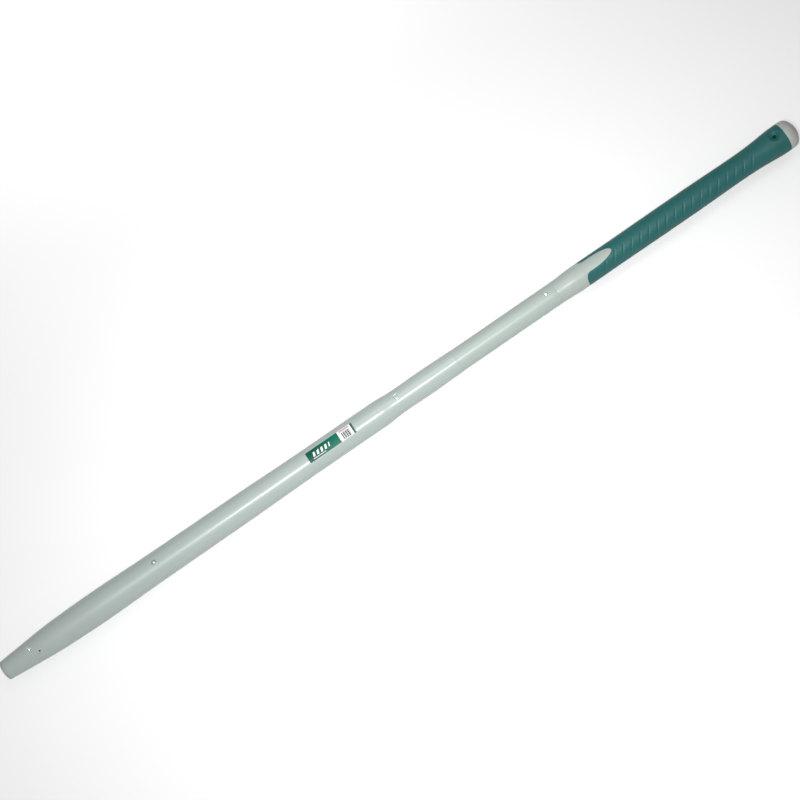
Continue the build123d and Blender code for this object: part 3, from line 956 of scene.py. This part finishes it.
class POLE_OT_sleeve(PieceOperator, bpy.types.Operator):
    """Wrap the soft sleeve with its window, rounded lobes, slanted grooves and dished hanging hole"""

    bl_idname = "pole.sleeve"
    bl_label = "Soft sleeve"

    columns = 120
    lobe_rows = 18
    tip_rows = 44
    body_rows = 460
    groove_from = math.radians(5.0)
    groove_to = math.radians(96.0)
    groove_facing = math.radians(24.0)
    groove_fade_in = math.radians(14.0)
    groove_fade_out = math.radians(60.0)
    groove_floor = 0.2 * MM
    groove_zero = 0.83855
    groove_zero_aside = 3.4 * MM
    first_groove = -2
    last_groove = 15
    # Painted light across each groove: where the painted shade band and the painted highlight band lie, and
    # how wide they are.
    painted_shade_at = -0.55 * MM
    painted_shade_width = 0.7 * MM
    painted_highlight_at = 0.85 * MM
    painted_highlight_width = 0.45 * MM
    dish_r = 6.9 * MM
    dish_depth = 3.0 * MM
    fine_reach = 10 * MM
    crowding = 0.35

    def place(self, grip, row, across):
        """(place along the pole, angle from +Z) of a grid point."""
        centre = grip.front + grip.window_straight
        lobe_share = self.lobe_rows
        if row < lobe_share:
            turn = grip.window_turn(centre)
        elif row < lobe_share + self.tip_rows:
            swing = math.pi / 2 * (row - lobe_share) / self.tip_rows
            turn = math.asin(grip.half_width * math.cos(swing) / grip.radius(centre))
        else:
            turn = 0.0
        angle = turn + (2 * math.pi - 2 * turn) * across
        if row < lobe_share:
            past = min(angle - turn, 2 * math.pi - turn - angle)
            edge = grip.front_edge(past)
            return edge + (centre - edge) * row / lobe_share, angle
        if row < lobe_share + self.tip_rows:
            return centre + grip.window_tip * math.sin(swing), angle
        share = (row - lobe_share - self.tip_rows) / self.body_rows
        return grip.window_end + (grip.back - grip.window_end) * share, angle

    def groove(self, grip, x, angle):
        """Depth of the grip grooves at a point, and its painted tone: -1 for painted shade on the gentle
        wall, 1 for a painted highlight on the steep wall.
        """
        shape = self.shape
        side = (angle - self.groove_from) % math.pi + self.groove_from
        aside = grip.radius(x) * math.sin(side - self.groove_facing) - self.groove_zero_aside
        count = (x + shape.groove_slant * aside - self.groove_zero) / shape.groove_pitch
        near = round(count)
        if side > self.groove_to or not self.first_groove <= near <= self.last_groove:
            return 0.0, 0.0
        across = (count - near) * shape.groove_pitch * math.cos(math.atan(shape.groove_slant))
        fade = ease((side - self.groove_from) / self.groove_fade_in)
        fade *= ease((self.groove_to - side) / self.groove_fade_out)
        window = min(abs(angle), abs(2 * math.pi - angle)) - grip.window_turn(x)
        fade *= ease(window * grip.radius(x) / (2 * MM) - 0.4) * ease((x - grip.front) / (4 * MM) - 2.0)
        falling = ease((across + shape.groove_run) / (shape.groove_run + self.groove_floor))
        rising = 1 - ease((across - self.groove_floor) / shape.groove_rise)
        # Painted light: a shade band on the gentle wall and a highlight band on the steep wall.
        painted_shade = math.exp(-(((across - self.painted_shade_at) / self.painted_shade_width) ** 2))
        painted_highlight = math.exp(-(((across - self.painted_highlight_at) / self.painted_highlight_width) ** 2))
        return shape.groove_depth * falling * rising * fade, (painted_highlight - painted_shade) * fade

    def dish(self, grip, x, y):
        """Depth of the dished mouth of the hanging hole."""
        away = math.hypot(x - grip.hole_x, y)
        return self.dish_depth * ease((self.dish_r - away) / (self.dish_r - grip.hole_r))

    def execute(self, context):
        grip = GripShape(self.shape)
        rows = self.lobe_rows + self.tip_rows + self.body_rows
        bm = bmesh.new()
        bmesh.ops.create_grid(bm, x_segments=rows, y_segments=self.columns, size=1.0)
        flat = {v: ((v.co.x + 1) / 2 * rows, (v.co.y + 1) / 2) for v in bm.verts}
        for vert, (row, across) in flat.items():
            across -= self.crowding * math.sin(2 * math.pi * across) / (2 * math.pi)
            x, angle = self.place(grip, round(row), across)
            vert.co = (x, angle, 0)
        self.refine(bm, grip)
        # Each point's painted shade and highlight tone, which the rubber's colour reads.
        tone = bm.verts.layers.float.new("groove")
        polar = {v: (v.co.x, v.co.y) for v in bm.verts}
        for vert, (x, angle) in polar.items():
            depth, vert[tone] = self.groove(grip, x, angle)
            turned_in = ease(1 - (grip.back - x) / self.shape.edge_round)
            r = grip.radius(x) - depth - self.shape.edge_round * turned_in
            vert.co = (x, -r * math.sin(angle), r * math.cos(angle))
            depth = self.dish(grip, x, vert.co.y)
            if depth:
                vert.co.z -= math.copysign(depth, vert.co.z)
        bmesh.ops.remove_doubles(bm, verts=bm.verts, dist=1e-6)
        self.thicken(bm, grip)
        reach = grip.radius(grip.hole_x) - self.dish_depth - 0.2 * MM
        lining = post(grip.hole_x, grip.hole_r + grip.lining, -reach, reach, segments=64)
        bm = cut(bm, lining, operation="UNION")
        bm = cut(bm, post(grip.hole_x, grip.hole_r, -CUT_HIGH, CUT_HIGH, segments=64))
        rubber = bpy.data.materials["teal_rubber"]
        finish_piece("soft_sleeve", bm, "sliding_pole", "sleeve", rubber, "grip_sleeve", sharp=50.0)
        return {"FINISHED"}

    def refine(self, bm, grip):
        """Finer mesh round the hanging hole, while the sleeve is still flat: place by angle."""
        near = []
        for edge in bm.edges:
            middle = (edge.verts[0].co + edge.verts[1].co) / 2
            r = grip.radius(middle.x)
            side = abs(math.sin(middle.y)) * r
            if math.hypot(middle.x - grip.hole_x, side) < self.fine_reach:
                near.append(edge)
        bmesh.ops.subdivide_edges(bm, edges=near, cuts=1, use_grid_fill=True)
        odd = [face for face in bm.faces if len(face.verts) > 4]
        bmesh.ops.triangulate(bm, faces=odd, ngon_method="BEAUTY")

    def thicken(self, bm, grip):
        """Give the sheet a wall down to the core and round its free edge."""
        sheet = bm.faces[:]
        rim = [e for e in bm.edges if e.is_boundary]
        front_rim = [e for e in rim if min(v.co.x for v in e.verts) < grip.window_end + MM]
        made = bmesh.ops.extrude_face_region(bm, geom=sheet, use_keep_orig=True)
        for vert in [g for g in made["geom"] if isinstance(g, bmesh.types.BMVert)]:
            x = vert.co.x
            wall = grip.radius(x) - grip.wall
            low = grip.core_r + 0.02 * MM
            inner = wall + (low - wall) * ease((x - grip.window_end - 3 * MM) / (3 * MM))
            scale = inner / math.hypot(vert.co.y, vert.co.z)
            vert.co.y *= scale
            vert.co.z *= scale
        bmesh.ops.recalc_face_normals(bm, faces=bm.faces)
        live = [e for e in front_rim if e.is_valid and e.calc_face_angle(0.0) > math.radians(50)]
        bmesh.ops.bevel(
            bm, geom=live, offset=self.shape.edge_round, offset_type="OFFSET", segments=3, profile=0.5,
            affect="EDGES", clamp_overlap=True, material=-1,
        )
        self.thin_out(bm, grip)

    def thin_out(self, bm, grip):
        """Merge the fine faces of the hidden inner wall, away from the window and the hanging hole."""
        start = grip.window_end + 8 * MM
        end = grip.hole_x - self.fine_reach
        hidden = {
            v for v in bm.verts
            if start < v.co.x < end and math.hypot(v.co.y, v.co.z) < grip.core_r + 0.1 * MM
        }
        edges = [e for e in bm.edges if e.verts[0] in hidden and e.verts[1] in hidden]
        bmesh.ops.dissolve_limit(bm, angle_limit=math.radians(1.5), verts=list(hidden), edges=edges)


class POLE_OT_cap(PieceOperator, bpy.types.Operator):
    """Turn the domed end cap"""

    bl_idname = "pole.cap"
    bl_label = "End cap"

    def execute(self, context):
        low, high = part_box("end_cap")
        _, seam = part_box("grip_sleeve")
        steps = 14
        swings = [math.pi / 2 * k / steps for k in range(steps + 1)]
        stations = [seam.x + (high.x - seam.x) * math.sin(a) for a in swings]
        dome = [(x, cad_radius("end_cap", x)) for x in stations[:-1]]
        dome[0] = (seam.x, cad_radius("end_cap", seam.x + 0.05 * MM))
        line = rounded(dome, start_round=self.shape.edge_round) + [(high.x, 0.0)]
        outline = line + [(low.x, 0.0), (low.x, CAP_SPIGOT), (seam.x, CAP_SPIGOT)]
        plastic = bpy.data.materials["textured_warm_grey"]
        finish_piece("domed_cap", spun(outline), "sliding_pole", "cap", plastic, "end_cap")
        return {"FINISHED"}


class POLE_OT_label(PieceOperator, bpy.types.Operator):
    """Lay the printed label on the barrel's mouth"""

    bl_idname = "pole.label"
    bl_label = "Printed label"

    span = math.radians(51.6)
    offset = math.radians(6.9)
    thickness = 0.12 * MM

    def execute(self, context):
        low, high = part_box("barrel_label")
        _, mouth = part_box("barrel_shell")
        surface = cad_radius("barrel_shell", (low.x + high.x) / 2)
        bm = bmesh.new()
        bmesh.ops.create_grid(bm, x_segments=60, y_segments=24, size=0.5)
        uv = bm.loops.layers.uv.new("print")
        for face in bm.faces:
            for loop in face.loops:
                loop[uv].uv = (loop.vert.co.x + 0.5, loop.vert.co.y + 0.5)
        sheet = bm.verts[:]
        made = bmesh.ops.extrude_face_region(bm, geom=bm.faces[:], use_keep_orig=True)
        under = {g for g in made["geom"] if isinstance(g, bmesh.types.BMVert)}
        for vert in [*sheet, *under]:
            angle = self.offset - self.span * vert.co.y
            x = low.x + (high.x - low.x) * (vert.co.x + 0.5)
            r = surface if vert in under else surface + self.thickness
            vert.co = (x, -r * math.sin(angle), r * math.cos(angle))
        film = bpy.data.materials["printed_label"]
        finish_piece("printed_label", bm, "barrel", "label", film, "barrel_label")
        return {"FINISHED"}


class POLE_OT_eyelet(PieceOperator, bpy.types.Operator):
    """Roll the lock hole's eyelet over the collar"""

    bl_idname = "pole.eyelet"
    bl_label = "Lock eyelet"

    bore = 2.55 * MM
    shank = 2.85 * MM
    flange = 3.35 * MM
    roll = 0.4 * MM
    clear = 0.05 * MM

    def execute(self, context):
        low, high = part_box("lock_eyelet")
        swings = [math.pi * k / 10 for k in range(11)]
        middle = (self.bore + self.flange) / 2
        half = (self.flange - self.bore) / 2
        crown = high.z - self.roll
        rolled = [(middle - half * math.cos(a), crown + self.roll * math.sin(a)) for a in swings]
        foot = COLLAR_BORE
        outline = [(self.bore, foot), *rolled, (self.flange, foot + self.clear), (self.shank, foot)]
        bm = bmesh.new()
        verts = [bm.verts.new((r, 0, z)) for r, z in outline]
        edges = [bm.edges.new(pair) for pair in zip(verts, [*verts[1:], verts[0]])]
        bmesh.ops.spin(
            bm,
            geom=verts + edges,
            cent=(0, 0, 0),
            axis=(0, 0, 1),
            angle=2 * math.pi,
            steps=64,
            use_merge=True,
        )
        bmesh.ops.remove_doubles(bm, verts=bm.verts, dist=1e-7)
        for vert in bm.verts:
            if vert.co.z < foot + self.clear / 2:
                vert.co.z = math.sqrt(foot**2 - vert.co.y**2)
        bmesh.ops.translate(bm, verts=bm.verts, vec=((low.x + high.x) / 2, 0, 0))
        steel = bpy.data.materials["plated_steel"]
        finish_piece("rolled_eyelet", bm, "barrel", "steel", steel, "lock_eyelet")
        return {"FINISHED"}


class POLE_OT_hardware(PieceOperator, bpy.types.Operator):
    """Give the rivets, button, spring, bushes and nose plug their finishes"""

    bl_idname = "pole.hardware"
    bl_label = "Hardware"

    finishes = {
        "nose_plug": "plug_skin",
        "nose_rivets": "bright_rivet",
        "nose_rivet_mandrels": "plated_steel",
        "mouth_bush": "nylon",
        "tail_bush": "nylon",
        "lock_button": "satin_steel",
        "button_spring": "plated_steel",
        "grip_rivets": "bright_rivet",
        "grip_rivet_mandrels": "plated_steel",
    }

    def execute(self, context):
        for node, finish in self.finishes.items():
            mesh = frame["nodes"][node].data
            mesh.materials.clear()
            mesh.materials.append(bpy.data.materials[finish])
        return {"FINISHED"}


class POLE_OT_stage(PieceOperator, bpy.types.Operator):
    """Lay the floor, hang the lights and set the camera"""

    bl_idname = "pole.stage"
    bl_label = "Stage"

    floor_half = 6.0
    key_size = (0.60, 0.15)
    fill_size = (0.35, 0.50)
    fill_along = 0.10
    fill_distance = 1.2
    fill_beam = math.radians(64.0)
    wash_size = (1.2, 0.4)
    wash_along = 0.15
    wash_aside = 0.80
    wash_height = 1.2
    wash_beam = math.radians(42.0)

    def execute(self, context):
        studio = context.scene.pole_studio
        low, high = CAD_BOX
        middle = Vector(((low.x + high.x) / 2, 0, 0))
        self.lay_floor(low.z)
        toward = Vector((0, -math.sin(studio.tilt), math.cos(studio.tilt)))
        self.hang_key(middle, toward, studio)
        self.hang_fill(middle, studio)
        self.hang_washes(middle, studio)
        self.hang_surround(studio.sky)
        self.set_camera(middle, toward, studio)
        return {"FINISHED"}

    def lay_floor(self, height):
        bm = bmesh.new()
        bmesh.ops.create_grid(bm, x_segments=1, y_segments=1, size=self.floor_half)
        gap = 0.2 * MM
        bmesh.ops.translate(bm, verts=bm.verts, vec=(0.5, 0, height - gap))
        floor = to_object("floor", bm)
        floor.data.materials.append(bpy.data.materials["pale_floor"])

    def hang_area(self, name, place, aim, size, power, spread_angle=math.pi):
        """A soft rectangular light whose long side lies along the pole."""
        data = bpy.data.lights.new(name, "AREA")
        data.shape = "RECTANGLE"
        data.size, data.size_y = size
        data.energy = power
        data.spread = spread_angle
        lamp = bpy.data.objects.new(name, data)
        bpy.context.scene.collection.objects.link(lamp)
        lamp.location = place
        away = -aim.normalized()
        short = away.cross(Vector((1, 0, 0))).normalized()
        lamp.rotation_euler = Matrix((short.cross(away), short, away)).transposed().to_euler()

    def hang_key(self, middle, toward, studio):
        """A soft strip close to the camera's line."""
        place = middle + Vector((studio.key_shift, 0, 0)) + toward * studio.key_distance
        aim = middle + Vector((studio.key_aim, 0, 0)) - place
        self.hang_area("key_strip", place, aim, self.key_size, studio.key_power, studio.key_spread)

    def hang_fill(self, middle, studio):
        """A soft light that keeps the far side of the tube and collar brighter than the near side."""
        swing = studio.fill_lean - studio.tilt
        toward = Vector((0, math.sin(swing), math.cos(swing)))
        place = middle + Vector((self.fill_along, 0, 0)) + toward * self.fill_distance
        self.hang_area("fill", place, -toward, self.fill_size, studio.fill_power, self.fill_beam)

    def hang_washes(self, middle, studio):
        """Narrow-beamed lights that only brighten the floor on either side of the pole."""
        down = Vector((0, 0, -1))
        for name, side in (("far_wash", 1), ("near_wash", -1)):
            place = middle + Vector((side * self.wash_along, side * self.wash_aside, self.wash_height))
            self.hang_area(name, place, down, self.wash_size, studio.wash_power, self.wash_beam)

    def hang_surround(self, strength):
        world = bpy.data.worlds.new("white_surround")
        world.use_nodes = True
        sky = world.node_tree.nodes["Background"]
        sky.inputs["Color"].default_value = (1, 1, 1, 1)
        sky.inputs["Strength"].default_value = strength
        bpy.context.scene.world = world

    def set_camera(self, middle, toward, studio):
        up = Vector((0, math.cos(studio.tilt), math.sin(studio.tilt)))
        pole = Vector((1, 0, 0))
        right = pole * math.cos(studio.roll) - up * math.sin(studio.roll)
        top = pole * math.sin(studio.roll) + up * math.cos(studio.roll)
        turn = Matrix((right, top, toward)).transposed()
        data = bpy.data.cameras.new("camera")
        data.lens = studio.lens
        camera = bpy.data.objects.new("camera", data)
        bpy.context.scene.collection.objects.link(camera)
        camera.matrix_world = Matrix.Translation(middle + toward * studio.distance) @ turn.to_4x4()
        bpy.context.scene.camera = camera
        bpy.context.scene.view_settings.view_transform = "Standard"


class POLE_PT_panel(bpy.types.Panel):
    """Lists the pole's operators and settings"""

    bl_idname = "POLE_PT_panel"
    bl_label = "Roller pole"
    bl_space_type = "VIEW_3D"
    bl_region_type = "UI"
    bl_category = "Pole"

    def draw(self, context):
        for made in PIECE_OPERATORS:
            self.layout.operator(made.bl_idname)
        for group in ("pole_shape", "pole_finish", "pole_studio"):
            settings = getattr(context.scene, group)
            for name in settings.__annotations__:
                self.layout.prop(settings, name)


PIECE_OPERATORS = (
    POLE_OT_finishes,
    POLE_OT_barrel,
    POLE_OT_collar,
    POLE_OT_tube,
    POLE_OT_core,
    POLE_OT_sleeve,
    POLE_OT_cap,
    POLE_OT_label,
    POLE_OT_eyelet,
    POLE_OT_hardware,
    POLE_OT_stage,
)
SETTINGS = (("pole_shape", PoleShape), ("pole_finish", PoleFinish), ("pole_studio", PoleStudio))


def register():
    for name, group in SETTINGS:
        bpy.utils.register_class(group)
        setattr(bpy.types.Scene, name, bpy.props.PointerProperty(type=group))
    for made in (*PIECE_OPERATORS, POLE_PT_panel):
        bpy.utils.register_class(made)


def unregister():
    for made in reversed((*PIECE_OPERATORS, POLE_PT_panel)):
        bpy.utils.unregister_class(made)
    for name, group in reversed(SETTINGS):
        delattr(bpy.types.Scene, name)
        bpy.utils.unregister_class(group)


def main():
    register()
    bpy.ops.pole.finishes()
    bpy.ops.pole.barrel()
    bpy.ops.pole.collar()
    bpy.ops.pole.tube()
    bpy.ops.pole.core()
    bpy.ops.pole.sleeve()
    bpy.ops.pole.cap()
    bpy.ops.pole.label()
    bpy.ops.pole.eyelet()
    bpy.ops.pole.hardware()
    bpy.ops.pole.stage()


if __name__ == "__main__":
    main()
